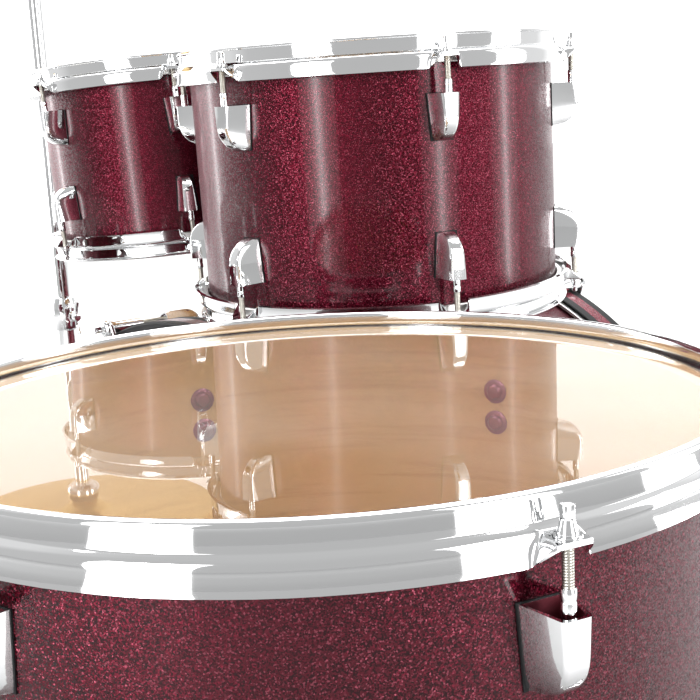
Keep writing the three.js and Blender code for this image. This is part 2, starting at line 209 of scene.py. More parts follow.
def wood(name, light, dark):
    """Ply veneer whose grain runs round the shell."""
    tree = new_material(name)
    stretched = tree.where(Scale=(6, 6, 130))
    grain = tree.node("TexNoise", stretched, Scale=1.6, Detail=9.0, Roughness=0.62, Distortion=0.35)
    colour = tree.ramp(grain, (0.32, dark), (0.5, light), (0.72, light))
    return tree.principled(Roughness=0.32, Coat_Weight=0.35, Coat_Roughness=0.12, Base_Color=colour,
                           Normal=tree.bump(grain, 0.08, 0.0006))


def lathed_bronze(name, x, y):
    """Cymbal bronze with fine circular tool marks about its own middle, in metres."""
    tree = new_material(name)
    rings = tree.node("TexWave", tree.where(Location=(-x, -y, 0)), wave_type="RINGS", rings_direction="Z",
                      Scale=170.0, Distortion=0.6, Detail=2.0).outputs["Color"]
    tone = tree.ramp(rings, (0.0, (0.60, 0.38, 0.13)), (1.0, (0.86, 0.64, 0.29)))
    marks = tree.bump(rings, 0.35, 0.0003)
    return tree.principled(Metallic=1.0, Roughness=0.27, Base_Color=tone, Normal=marks)


def soft(name, colour, rough, scale=900.0, strength=0.5):
    """Rubber, pressed felt or satin paint: matt, with an uneven surface."""
    tree = new_material(name)
    uneven = tree.noise(scale, 5.0)
    dark, light = (tuple(c * share for c in colour) for share in (0.75, 1.15))
    shade = tree.ramp(uneven, (0.25, dark), (0.75, light))
    return tree.principled(Roughness=rough, Specular_IOR_Level=0.15, Base_Color=shade,
                           Normal=tree.bump(uneven, strength, 0.0006))


WINE = sparkle("wine_sparkle", (0.018, 0.0010, 0.003), (0.066, 0.0034, 0.010), (0.17, 0.032, 0.050))
INLAY = sparkle("hoop_inlay", (0.035, 0.0015, 0.005), (0.13, 0.006, 0.018), (0.30, 0.04, 0.07))
CHROME = metal("chrome", (0.80, 0.805, 0.81), 0.045, 0.03)
CAST = metal("cast_alloy", (0.62, 0.63, 0.64), 0.3, 0.16, 220.0)
STEEL = metal("wire_steel", (0.66, 0.66, 0.67), 0.25, 0.1, 300.0)
ALLOY = metal("flesh_hoop_alloy", (0.72, 0.72, 0.71), 0.35, 0.1, 200.0)
THREAD_Z = threaded("thread_upright", "Z")
THREAD_Y = threaded("thread_level", "Y")
FILM = clear_film("clear_film")
COATED = coated("coated_film", (0.50, 0.49, 0.465))
MAPLE = wood("maple_ply", (0.60, 0.385, 0.175), (0.52, 0.32, 0.14))
RUBBER = soft("black_rubber", (0.018, 0.018, 0.019), 0.75)
FELT = soft("beater_felt", (0.72, 0.69, 0.6), 0.95, 700.0, 0.9)
FELT_DARK = soft("cymbal_felt", (0.05, 0.045, 0.045), 0.95, 700.0, 0.9)
BLACK = soft("satin_black", (0.004, 0.004, 0.0045), 0.5, 500.0, 0.02)
# Inside of the lugs: dark wine-tinted metal, painted shade and a painted reflection of the shell where the
# chrome lies in shadow.
HOLLOW_PAINTED_SHADE_AND_REFLECTION = metal("lug_hollow_painted_shade", (0.20, 0.045, 0.06), 0.5, 0.1, 200.0)
PLUM = metal("plum_washer", (0.30, 0.13, 0.17), 0.38, 0.1, 200.0)
BRONZE = lathed_bronze("cymbal_bronze", (HAT[0] - KIT_CENTRE[0]) * MM, (HAT[1] - KIT_CENTRE[1]) * MM)


# ---- geometry: each function returns vertices in mm, faces, and each face's material index ----

def box(size, centre, radius, segments=3, slot=0):
    """Box with rounded edges."""
    bm = bmesh.new()
    bmesh.ops.create_cube(bm, size=1.0)
    bmesh.ops.scale(bm, vec=size, verts=bm.verts)
    bmesh.ops.bevel(bm, geom=list(bm.edges), offset=radius, segments=segments, profile=0.5, affect="EDGES")
    bmesh.ops.translate(bm, vec=centre, verts=bm.verts)
    bm.verts.index_update()
    vertices = [tuple(v.co) for v in bm.verts]
    faces = [[v.index for v in f.verts] for f in bm.faces]
    bm.free()
    return vertices, faces, [slot] * len(faces)


def turned(profile, segments, slot=0, slots=None):
    """Turned about Z. A profile that starts and ends on the axis is a solid; any other closes on itself."""
    solid = profile[0][0] == 0 and profile[-1][0] == 0
    vertices, faces, marks, rows = [], [], [], []
    for radius, height in profile:
        if radius == 0:
            rows.append([len(vertices)] * segments)
            vertices.append((0, 0, height))
            continue
        rows.append([len(vertices) + k for k in range(segments)])
        for k in range(segments):
            angle = 2 * math.pi * k / segments
            vertices.append((radius * math.cos(angle), radius * math.sin(angle), height))
    count = len(profile) - 1 if solid else len(profile)
    for i in range(count):
        low, high = rows[i], rows[(i + 1) % len(rows)]
        for k in range(segments):
            corners = [low[k], low[(k + 1) % segments], high[(k + 1) % segments], high[k]]
            corners = list(dict.fromkeys(corners))
            if len(corners) > 2:
                faces.append(corners)
                marks.append(slots[i] if slots else slot)
    return vertices, faces, marks


def ring(bore, radius, low, high, bevel, segments, slot=0):
    """Ring about Z, or a disc where the bore is 0, with a bevel (across, up) on its outer edges."""
    across, up = bevel
    profile = [(bore, low), (radius - across, low), (radius, low + up),
               (radius, high - up), (radius - across, high), (bore, high)]
    return turned(profile, segments, slot)


def level(upper, segments, slot=0):
    """Solid about Z that is the same above and below z 0, from the profile of its upper half."""
    return turned([(r, -z) for r, z in reversed(upper)] + upper, segments, slot)


def filleted(points, fillet, steps=7):
    """A polyline with each corner rounded by an arc-like curve."""
    points = [Vector(p) for p in points]
    route = [points[0]]
    for before, corner, after in zip(points, points[1:], points[2:]):
        back, on = before - corner, after - corner
        reach = min(fillet, back.length * 0.45, on.length * 0.45)
        start, end = corner + back.normalized() * reach, corner + on.normalized() * reach
        for i in range(steps + 1):
            t = i / steps
            route.append(start.lerp(corner, t).lerp(corner.lerp(end, t), t))
    route.append(points[-1])
    return route


def tube(points, radius, sides, fillet=0.0, slot=0, widths=None):
    """A round bar swept along a filleted polyline, with softened ends; widths are shares of its radius."""
    route = filleted(points, fillet)
    first, last = (route[1] - route[0]).normalized(), (route[-1] - route[-2]).normalized()
    edge = min(radius * 0.3, 1.5)
    stations = [(route[0], radius - edge), (route[0] + first * edge, radius)]
    stations += [(p, radius) for p in route[1:-1]]
    stations += [(route[-1] - last * edge, radius), (route[-1], radius - edge)]
    if widths:
        shares = np.interp(np.linspace(0, 1, len(stations)), np.linspace(0, 1, len(widths)), widths)
        stations = [(point, width * share) for (point, width), share in zip(stations, shares)]
    tangents = []
    for i in range(len(stations)):
        ahead, behind = stations[min(i + 1, len(stations) - 1)][0], stations[max(i - 1, 0)][0]
        tangents.append((ahead - behind).normalized())
    side = tangents[0].orthogonal().normalized()
    vertices, faces = [], []
    for i, (point, width) in enumerate(stations):
        side = (side - tangents[i] * side.dot(tangents[i])).normalized()
        other = tangents[i].cross(side)
        for k in range(sides):
            angle = 2 * math.pi * k / sides
            vertices.append(tuple(point + (side * math.cos(angle) + other * math.sin(angle)) * width))
        if i:
            base = (i - 1) * sides
            for k in range(sides):
                n = (k + 1) % sides
                faces.append([base + k, base + n, base + sides + n, base + sides + k])
    faces.append(list(range(sides))[::-1])
    faces.append(list(range((len(stations) - 1) * sides, len(stations) * sides)))
    return vertices, faces, [slot] * len(faces)


def smooth_path(points):
    """Catmull-Rom curve through the points, in four steps from each to the next."""
    p = np.array([points[0]] + points + [points[-1]], float)
    out = []
    for i in range(1, len(p) - 2):
        a, b, c, d = p[i - 1:i + 3]
        for t in np.arange(4) / 4:
            bend = (2 * a - 5 * b + 4 * c - d) * t ** 2
            out.append(0.5 * (2 * b + (c - a) * t + bend + (3 * b - a - 3 * c + d) * t ** 3))
    out.append(p[-2])
    return np.array(out)


def moved(part, matrix):
    vertices, faces, marks = part
    flip = matrix.to_3x3().determinant() < 0
    vertices = [tuple(matrix @ Vector(v)) for v in vertices]
    return vertices, [f[::-1] for f in faces] if flip else faces, marks


def merged(parts):
    vertices, faces, marks = [], [], []
    for part in parts:
        base = len(vertices)
        vertices += part[0]
        faces += [[base + i for i in face] for face in part[1]]
        marks += part[2]
    return vertices, faces, marks


class Piece:
    """Collects parts in mm and becomes one object that rides on a body."""

    def __init__(self, name, materials):
        self.name, self.materials = name, materials
        self.vertices, self.faces, self.marks = [], [], []

    def add(self, part, matrix=HERE, slot=None):
        vertices, faces, marks = moved(part, matrix)
        base = len(self.vertices)
        self.vertices.extend(vertices)
        self.faces.extend([base + i for i in face] for face in faces)
        self.marks.extend(marks if slot is None else [slot] * len(faces))
        return self

    def done(self, place, body, slot, replaces=(), angle=38):
        """Places the piece; edges that turn by more than the angle stay sharp."""
        whole = Matrix.Scale(MM, 4) @ KIT @ place
        mesh = bpy.data.meshes.new(self.name)
        mesh.from_pydata([tuple(whole @ Vector(v)) for v in self.vertices], [], self.faces)
        for material in self.materials:
            mesh.materials.append(material)
        mesh.polygons.foreach_set("material_index", self.marks)
        mesh.polygons.foreach_set("use_smooth", [True] * len(self.faces))
        bm = bmesh.new()
        bm.from_mesh(mesh)
        bmesh.ops.recalc_face_normals(bm, faces=bm.faces)
        bm.to_mesh(mesh)
        bm.free()
        mesh.set_sharp_from_angle(angle=math.radians(angle))
        mesh.update()
        piece = bpy.data.objects.new(self.name, mesh)
        bpy.context.scene.collection.objects.link(piece)
        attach(piece, body)
        if replaces:
            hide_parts(*replaces)


# ---- drum pieces, about Z with the middle of the shell at the origin ----

HOOP_RIM = [(8.0, -2.3), (7.6, -1.2), (6.4, -0.75), (5.1, -1.2), (4.4, -2.6), (4.9, -7.0), (5.6, -11.0)]
HOOP_PLAIN = HOOP_RIM + [(6.1, -12.4), (7.3, -13.5), (8.6, -14.8), (9.3, -16.6), (9.6, -18.8),
                         (10.0, -21.6), (10.5, -24.2), (11.0, -25.8)]
HOOP_EAR = HOOP_RIM + [(6.0, -12.1), (6.8, -13.0), (7.8, -14.0), (9.0, -15.0), (11.0, -15.8),
                       (14.6, -16.0), (18.4, -16.0), (21.6, -16.0)]


def hoop(radius, lugs, turned_by):
    """Triple-flange hoop, z 0 at the rim: the skirt sweeps out into an ear at each rod."""
    plain, ear = smooth_path(HOOP_PLAIN), smooth_path(HOOP_EAR)
    step, reach = 2 * math.pi / lugs, EAR_REACH / radius
    stations = []
    for k in range(lugs):
        middle = math.radians(turned_by) + k * step
        near = np.linspace(-reach, reach, 56)
        between = np.linspace(reach, step - reach, 18)[1:-1]
        stations += [(middle + a, abs(a) * radius) for a in near]
        stations += [(middle + a, EAR_REACH) for a in between]
    vertices, faces = [], []
    outline = 2 * len(plain)
    for angle, away in stations:
        t = min(max((12.0 - away) / 6.5, 0), 1)     # 1 within 5.5 mm of the rod, 0 beyond 12 mm
        weight = t * t * (3 - 2 * t)
        path = plain * (1 - weight) + ear * weight
        slope = np.gradient(path, axis=0)
        slope /= np.linalg.norm(slope, axis=1)[:, None]
        offset = np.stack([slope[:, 1], -slope[:, 0]], 1) * (HOOP_GAUGE / 2)
        for r, z in np.concatenate([path + offset, (path - offset)[::-1]]):
            vertices.append(((radius + r) * math.cos(angle), (radius + r) * math.sin(angle), z))
    for i in range(len(stations)):
        j = (i + 1) % len(stations)
        for k in range(outline):
            n = (k + 1) % outline
            faces.append([i * outline + k, j * outline + k, j * outline + n, i * outline + n])
    return vertices, faces, [0] * len(faces)


def shell_body(radius, half):
    """Sparkle outside, bare ply on the bearing edges and inside."""
    inner = radius - WALL
    profile = [(radius, -half + 1.2), (radius, half - 1.2), (radius - 1.2, half), (radius - 2.2, half),
               (inner, half - 4.4), (inner, -half + 4.4), (radius - 2.2, -half), (radius - 1.2, -half)]
    return turned(profile, SEGMENTS, slots=[0] + [1] * 7)


def film(radius, half):
    """Head: flat to the bearing edge, then a collar down over its flesh hoop."""
    top = half + HEAD_LIFT
    outer = [(share * (radius - 5.1), top) for share in (0, 0.5, 0.97, 1)]
    outer += [(radius - 4.5, top), (radius - 1.5, top - 0.35), (radius + 0.8, top - 1.6),
              (radius + 1.9, top - 4.0), (radius + 2.2, top - 8.0)]
    inner = [(r - (0.3 if z < top - 1 else 0), z - (0.3 if z > top - 3 else 0)) for r, z in outer]
    return turned(outer + inner[::-1], SEGMENTS)


def flesh_hoop(radius, half):
    low, high = half - 12, half - 5.2
    profile = [(1.2, low + 0.6), (1.8, low), (4.6, low), (5.2, low + 0.6), (5.2, high - 0.6), (4.6, high),
               (2.5, high), (2.3, high - 4), (1.2, high - 5)]
    return turned([(radius + r, z) for r, z in profile], SEGMENTS)


def lug(length):
    """Hollow cast lug, open end at z 0, running down and narrowing; x stands off the shell."""
    stand_off, toe = 22.0, min(19.0, length * 0.56)
    straight = length - toe

    def section(z, drawn, inset=0.0):
        """Outline at height z, its front drawn in by a share of the toe's length."""
        x = stand_off - drawn * toe - inset
        taper = 1 + z / length * 0.24
        base = 11.0 * taper - inset * 1.25
        front = 6.1 * taper * (1 - 0.2 * drawn) - inset
        slope = Vector((x + 1.5, front - base)).normalized()
        back, soft_edge = -1.5 + inset * 2, 2.0
        corner = [(x - slope.x * soft_edge, front - slope.y * soft_edge), (x - 0.7, front - 0.25),
                  (x - 0.12, front - 0.95), (x, front - soft_edge)]
        return [(back, -base)] + [(px, -py) for px, py in corner] + corner[::-1] + [(back, base)]

    mouth = section(0, 0, 1.5)
    rows = [(mouth, -min(15.0, length * 0.5)), (mouth, 0)]
    rows += [(section(z, 0), z) for z in (0, -0.8, -straight * 0.5, -straight)]
    for degrees in range(10, 91, 10):
        a = math.radians(degrees)
        z = -straight - toe * math.sin(a)
        rows.append((section(z, 1 - math.cos(a)), z))
    vertices = [(x, y, z) for outline, z in rows for x, y in outline]
    n, faces = len(mouth), []
    for i in range(len(rows) - 1):
        for k in range(n):
            m = (k + 1) % n
            faces.append([i * n + k, (i + 1) * n + k, (i + 1) * n + m, i * n + m])
    faces.append(list(range(n)))
    faces.append([(len(rows) - 1) * n + k for k in range(n)][::-1])
    # The hollow's sides and bottom have material 2, a dark wine-tinted metal: painted shade and a painted
    # reflection of the shell in place of chrome.
    return vertices, faces, [2] * n + [0] * ((len(rows) - 2) * n) + [2, 0]


def gasket(length):
    """Thin black pad between the lug and the shell, following the lug's outline."""
    outline = [(-11.4, 0.4), (11.4, 0.4), (8.75, -length - 0.4), (-8.75, -length - 0.4)]
    vertices = [(x, y, z) for x in (-1.6, 0.5) for y, z in outline]
    faces = [[0, 1, 2, 3], [7, 6, 5, 4], [0, 4, 5, 1], [1, 5, 6, 2], [2, 6, 7, 3], [3, 7, 4, 0]]
    return vertices, faces, [1] * 6


def tension_rod(end):
    """z 0 at the top face of the ear: washer, collar and square head above, rod and swivel nut below."""
    nut = [(0, end - 9), (2.9, end - 9), (2.9, end - 3.4), (2.7, end - 2.6), (3.0, end - 1.9),
           (3.0, end + 1.4), (2.6, end + 2.1), (0, end + 2.1)]
    return merged([
        turned([(2.6, 0), (5.0, 0), (5.2, 0.4), (5.0, 0.9), (2.6, 0.9)], 32),
        turned([(0, 0.9), (3.9, 0.9), (4.0, 1.6), (3.4, 3.0), (2.9, 5.0), (2.6, 6.4), (0, 6.4)], 32),
        box((4.3, 4.3, 6.2), (0, 0, 8.6), 0.8, 2),
        turned([(0, end - 14), (2.0, end - 14), (2.2, end), (2.2, 1.0), (0, 1.0)], 24, 1),
        turned(nut, 32),
    ])


def lug_screw():
    """Screw head and washer inside the shell, standing on z 0."""
    return turned([(0, 0), (8, 0), (8, 0.9), (7.2, 1.3), (5.2, 1.4), (5, 2.6), (3.9, 3.8), (0, 4.2)], 36)


def wing_bolt(span=38.0, stem=8.0):
    """T-shaped wing bolt standing on z 0, pointing up."""
    wing = [(x * span, 0, stem + z) for x, z in ((-0.5, 9), (-0.2, 3.5), (0.2, 3.5), (0.5, 9))]
    return merged([
        turned([(0, -4), (3.2, -4), (3.2, stem), (0, stem)], 24),
        turned([(0, 0), (6.2, 0), (6.6, 1.2), (5.6, 2.6), (3.2, 3.2), (0, 3.2)], 32),
        turned([(0, stem - 1), (5.2, stem - 1), (6.0, stem + 3), (4.6, stem + 7), (0, stem + 8)], 32),
        tube(wing, 3.1, 18, 8.0, widths=[1.25, 1.0, 0.9, 1.0, 1.25]),
    ])


def add_head(part, material, radius, half, mirror, place, body):
    """Film and flesh hoop of one head."""
    Piece(f"{part}_film", [material]).add(film(radius, half), mirror).done(
        place, body, "head_film", (f"{part}_head",), 60)
    Piece(f"{part}_flesh_hoop", [ALLOY]).add(flesh_hoop(radius, half), mirror).done(place, body, "chrome")


def drum(name, radius, depth, lugs, turned_by, place, body, heads, lug_length=LUG_LENGTH):
    """Shell, heads, hoops, lugs and rods, with the middle of the shell at the place."""
    half = depth / 2
    rim = half + RIM
    Piece(f"{name}_shell_skin", [WINE, MAPLE]).add(shell_body(radius, half)).done(
        place, body, "wine_sparkle", (f"{name}_shell",))
    for side, mirror, head in (("batter", HERE, heads[0]), ("bottom", FLIP, heads[1])):
        part = f"{name}_{side}"
        add_head(part, head, radius, half, mirror, place, body)
        Piece(f"{part}_rim", [CHROME]).add(hoop(radius, lugs, turned_by), mirror @ at(0, 0, rim)).done(
            place, body, "chrome", (f"{part}_hoop",), 50)
        casings = Piece(f"{part}_lugs", [CHROME, BLACK, HOLLOW_PAINTED_SHADE_AND_REFLECTION])
        rods = Piece(f"{part}_rods", [CHROME, THREAD_Z])
        screws = Piece(f"{part}_lug_screws", [PLUM])
        for k in range(lugs):
            spin = mirror @ turn("Z", turned_by + 360 * k / lugs)
            seat = spin @ at(radius, 0, rim - LUG_DROP)
            casings.add(merged([lug(lug_length), gasket(lug_length)]), seat)
            ear_top = rim - EAR + HOOP_GAUGE / 2
            rods.add(tension_rod(EAR + 6.6 - LUG_DROP), spin @ at(radius + ROD_CIRCLE, 0, ear_top))
            for share in LUG_SCREWS:
                z = rim - LUG_DROP - share * lug_length
                screws.add(lug_screw(), spin @ at(radius - WALL, 0, z) @ turn("Y", -90))
        casings.done(place, body, "chrome", (), 32)
        rods.done(place, body, "chrome", (), 40)
        screws.done(place, body, "chrome", (), 40)


# ---- bass drum ----

# The drum's own Z points at the player, its X straight up.
LYING = at(0, 0, BASS_AXIS) @ Matrix(((0, -1, 0, 0), (0, 0, -1, 0), (1, 0, 0, 0), (0, 0, 0, 1)))


def bass_hoop(half):
    """Flat wooden hoop: black edges with a sparkle inlay round the outside."""
    low, high, out, inner = half - 7.7, half + 30.3, BASS_R + 8.6, BASS_R - 2.0
    profile = [(BASS_R + 6.6, low + 0.6), (BASS_R + 7.2, low), (out - 0.8, low), (out, low + 0.8),
               (out, low + 11.5), (out, low + 26.5), (out, high - 1.6), (out - 1.6, high),
               (inner + 1.6, high), (inner, high - 1.6), (inner, half + 2.4),
               (BASS_R + 0.5, half + 2.0), (BASS_R + 6.6, half)]
    return turned(profile, SEGMENTS, slots=[1] * 4 + [0] + [1] * 8)


def claw():
    """Hook over the hoop, about a rod at x = rod circle; z 0 at the shell's end."""
    x = BASS_R + ROD_CIRCLE
    boss = turned([(0, 34), (8.2, 34), (8.2, 37), (6.6, 38.6), (0, 38.6)], 40)
    sleeve = turned([(3.2, -6), (5.2, -5.6), (5.7, 2), (6.2, 26), (7.8, 31), (3.2, 31.5)], 40)
    return merged([
        box((22, 20, 4.6), (x - 8.4, 0, 33.0), 1.6),
        box((4.2, 20, 8), (x - 17.6, 0, 29.5), 1.4),
        moved(boss, at(x, 0, 0)), moved(sleeve, at(x, 0, 0)),
    ])


def bass_rod():
    """Square-headed rod through the claw, with its nut in the lug; z 0 at the shell's end."""
    nut = [(0, -50), (4.3, -50), (4.3, -42), (3.6, -41), (4.2, -40), (4.2, -36), (3.5, -35), (0, -35)]
    return merged([
        box((5.7, 5.7, 9), (0, 0, 43.4), 0.8, 2),
        turned([(0, 38.4), (5.4, 38.4), (3.6, 41), (0, 41)], 28),
        turned([(0, -52), (2.2, -52), (2.6, -40), (2.6, 40), (0, 40)], 24, 1),
        turned(nut, 32),
    ])


def add_bass():
    half, lug_length = BASS_L / 2, 44
    for name, side, head in (("batter", HERE, FILM), ("front", FLIP, COATED)):
        add_head(f"bass_{name}", head, BASS_R, half, side, LYING, "kit")
        Piece(f"bass_{name}_wood_hoop", [INLAY, BLACK]).add(bass_hoop(half), side).done(
            LYING, "kit", "bass_hoop", (f"bass_{name}_hoop",))
        lugs = Piece(f"bass_{name}_lugs", [CHROME, BLACK, HOLLOW_PAINTED_SHADE_AND_REFLECTION])
        claws = Piece(f"bass_{name}_claws", [CHROME])
        rods = Piece(f"bass_{name}_rods", [CHROME, THREAD_Y])
        for k in range(8):
            spin = side @ turn("Z", 22.5 + 45 * k)
            seat = spin @ at(BASS_R, 0, half + RIM - LUG_DROP)
            lugs.add(merged([lug(lug_length), gasket(lug_length)]), seat)
            claws.add(claw(), spin @ at(0, 0, half))
            rods.add(bass_rod(), spin @ at(BASS_R + ROD_CIRCLE, 0, half))
        lugs.done(LYING, "kit", "chrome", (), 32)
        claws.done(LYING, "kit", "chrome")
        rods.done(LYING, "kit", "chrome")
    skin = Piece("bass_shell_skin", [WINE, MAPLE]).add(shell_body(BASS_R, half))
    skin.done(LYING, "kit", "wine_sparkle", ("bass_shell",))


def add_spur(name, side):
    """Bracket on the shell, and the folding leg with its rubber tip."""
    below, out = math.radians(SPUR_BELOW), BASS_R + 13
    mid = Vector((side * out * math.cos(below), 90, BASS_AXIS - out * math.sin(below)))
    tilt = at(*mid) @ turn("Y", SPUR_BELOW * side) @ Matrix.Diagonal((side, 1, 1, 1))
    sideways = turn("Y", 90 * side)
    bracket = Piece(f"spur_bracket_{name}_casting", [CHROME, BLACK])
    bracket.add(box((7, 46, 62), (-8.2, 0, 0), 3.0), tilt)
    bracket.add(box((16, 34, 46), (2, 0, 0), 5.0), tilt)
    bracket.add(ring(0, 16.5, 0, 7.5, (1.5, 1.5), 48, 1), at(mid.x + side * 15, mid.y, mid.z) @ sideways)
    screw = turned([(0, 0), (4.2, 0), (4.0, 1.6), (2.6, 2.8), (0, 3.1)], 24)
    for dz in (-24, 24):
        for dy in (-17, 17):
            bracket.add(screw, tilt @ at(-4.8, dy, dz) @ turn("Y", 90))
    bracket.done(HERE, "kit", "chrome", (f"spur_bracket_{name}",))

    pivot = Vector((mid.x + side * 34, mid.y, mid.z))
    foot = Vector((side * (BASS_R + 95), 245, 11.2))
    aim = (foot - pivot).normalized()
    down = at(*foot) @ along(pivot, foot)
    leg = Piece(f"spur_{name}_leg", [CHROME, RUBBER])
    leg.add(level([(16.8, 4), (16, 7.5), (14, 9), (0, 9)], 56), at(*pivot) @ turn("Y", 90))
    leg.add(tube([pivot, foot - aim * 12], BAR_R, 28))
    leg.add(turned([(0, -30), (9.2, -30), (10.2, -27), (10.9, -4), (9.0, 3), (5, 7), (0, 8.5)], 40, 1), down)
    leg.add(turned([(0, -36), (9.8, -36), (9.8, -30), (0, -30)], 40), down)
    leg.add(wing_bolt(), at(pivot.x + side * 9, pivot.y, pivot.z) @ sideways)
    leg.done(HERE, f"spur_{name}", "chrome", (f"bass_spur_{name}",))


# ---- tom holder and mounted toms ----

def add_tom_mount():
    mount = Piece("tom_mount_casting", [CHROME])

    def sag(x):
        """Height of the shell's outside above its top line, at x from the middle."""
        return math.sqrt(BASS_R ** 2 - x ** 2) - BASS_R

    vertices, faces, marks = box((POST_SPACING + 64, 72, 9), (0, 0, 0), 3.2, 4)
    saddle = [(x, y, z + sag(x)) for x, y, z in vertices], faces, marks
    mount.add(saddle, at(0, POST_LINE, BASS_TOP + 7.4))
    socket = [(13.3, -3), (22, -3), (23, 2), (21, 9), (20, 40), (21, 43), (21, 50), (19.5, 52), (14.5, 52),
              (13.3, 50.8)]
    for side in (-1, 1):
        base = at(side * POST_SPACING / 2, POST_LINE, BASS_TOP)
        mount.add(turned(socket, 56), base)
        mount.add(ring(12.9, 18.2, 54, 70.5, (0.7, 1.5), 48), base)
        mount.add(box((12, 11, 13), (21, 0, 62.5), 2.5), base)
        mount.add(turned([(0, 0), (4.6, 0), (4.2, 9), (0, 10)], 6), base @ at(27, 0, 62.5) @ turn("Y", 90))
        mount.add(box((13, 16, 15), (0, 0, 0), 3), base @ at(side * 25, 0, 42))
        mount.add(wing_bolt(34, 7), base @ at(side * 31, 0, 42) @ turn("Y", 90 * side))
    screw = turned([(0, 0), (5.2, 0), (5, 1.8), (3.2, 3), (0, 3.4)], 28)
    for x in (-54, 54):
        for y in (-26, 26):
            z = BASS_TOP + 10.6 + sag(x)
            mount.add(screw, at(x, POST_LINE + y, z) @ turn("Y", 11 if x > 0 else -11))
    mount.done(HERE, "kit", "chrome", ("tom_mount",))


def add_post(name, post, pivot):
    """Tube from inside the bass drum up to the swivel."""
    tube_post = Piece(f"{name}_post_tube", [CHROME, RUBBER])
    low, high = BASS_TOP - 110 - pivot, -34
    tube_post.add(turned([(10.5, low), (12.7, low), (12.7, high - 1.2), (11.5, high), (10.5, high)], 48))
    tube_post.done(at(post.x, post.y, pivot), f"{name}_height", "chrome", (f"{name}_post",))


def add_swivel(name, base):
    swivel = Piece(f"{name}_swivel_fork", [CHROME])
    swivel.add(turned([(13.3, -48), (18, -48), (19, -46.5), (19, -26), (17, -22), (13.3, -20)], 48))
    swivel.add(turned([(0, -33), (13.6, -33), (17, -22), (16, -17.5), (0, -17.5)], 48))
    for hand in (-1, 1):
        swivel.add(ring(0, 15, -3, 3, (1.4, 1.4), 56), at(0, hand * 15.5, 0) @ turn("X", 90))
        swivel.add(box((28, 5.6, 18), (0, hand * 15.5, -10), 2.0))
    swivel.add(box((26, 34, 5), (0, 0, -18.5), 2.0))
    swivel.add(box((13, 13, 13), (-20, 0, -38), 3))
    swivel.add(wing_bolt(34, 6), at(-26, 0, -38) @ turn("Y", -90))
    swivel.done(base, f"{name}_turn", "chrome", (f"{name}_swivel",))


def add_tilter_and_arm(name, leaning, drop_x):
    """The arm runs out from the tilter and bends straight down at drop_x."""
    tilter = Piece(f"{name}_tilter_block", [CHROME, CAST])
    tilter.add(ring(0, 13.5, -12, 12, (1.1, 1), 56, 1), turn("X", 90))
    tilter.add(box((34, 22, 24), (25, 0, 0), 5, 4))
    tilter.add(wing_bolt(36, 6), at(28, 0, 11.5))
    tilter.add(wing_bolt(36, 5), at(0, 18.8, 0) @ turn("X", -90))
    tilter.done(leaning, f"{name}_tilt", "chrome", (f"{name}_tilter",))
    arm = Piece(f"{name}_l_arm", [CHROME])
    arm.add(tube([(30, 0, 0), (drop_x, 0, 0), (drop_x, 0, -ARM_DROP - 34)], BAR_R, 28, 10))
    arm.done(leaning, f"{name}_tilt", "chrome", (f"{name}_arm",))


def add_tom_bracket(name, radius, seat):
    bracket = Piece(f"{name}_bracket_casting", [CHROME])
    bracket.add(box((6, 38, 42), (-radius - 3.6, 0, 0), 2.4))
    bracket.add(ring(6.95, 13.2, -21, 21, (1.2, 1.5), 48), at(-radius - 25, 0, 0))
    bracket.add(box((12, 20, 30), (-radius - 11, 0, 0), 4))
    bracket.add(box((14, 12, 14), (-radius - 25, 15, 0), 3))
    bracket.add(wing_bolt(34, 6), at(-radius - 25, 21, 0) @ turn("X", -90))
    screw = turned([(0, 0), (3.4, 0), (3.2, 1.4), (0, 2.4)], 24)
    for y in (-14, 14):
        for z in (-15, 15):
            bracket.add(screw, at(-radius - 6.2, y, z) @ turn("Y", -90))
    bracket.done(seat, f"{name}_drum", "chrome", (f"{name}_bracket",))


def add_mounted_tom(side, name, radius, depth, middle, lean, lug_turn):
    """Post, swivel, tilter, arm and drum; the angles are in degrees."""
    post = Vector((side * POST_SPACING / 2, POST_LINE))
    toward = Vector((middle[0], middle[1])) - post
    reach, heading = toward.length, math.degrees(math.atan2(toward.y, toward.x))
    pivot = middle[2] + ARM_DROP + reach * math.sin(math.radians(lean))
    add_post(name, post, pivot)
    base = at(post.x, post.y, pivot) @ turn("Z", heading)
    add_swivel(name, base)
    leaning = base @ turn("Y", lean)
    add_tilter_and_arm(name, leaning, reach - radius - 25)
    seat = leaning @ at(reach, 0, -ARM_DROP)
    drum(name, radius, depth, 6, lug_turn - heading, seat, f"{name}_drum", (FILM, FILM))
    add_tom_bracket(name, radius, seat)


# ---- floor tom ----

def add_floor_tom():
    radius, place = 8 * INCH, at(*FLOOR_TOM_MIDDLE)
    drum("floor_tom", radius, 16 * INCH, 6, FLOOR_TOM_TURN, place, "kit", (FILM, FILM))
    for i in (1, 2, 3):
        add_leg(i, radius, place @ turn("Z", FLOOR_TOM_TURN + 30 + 120 * (i - 1)))


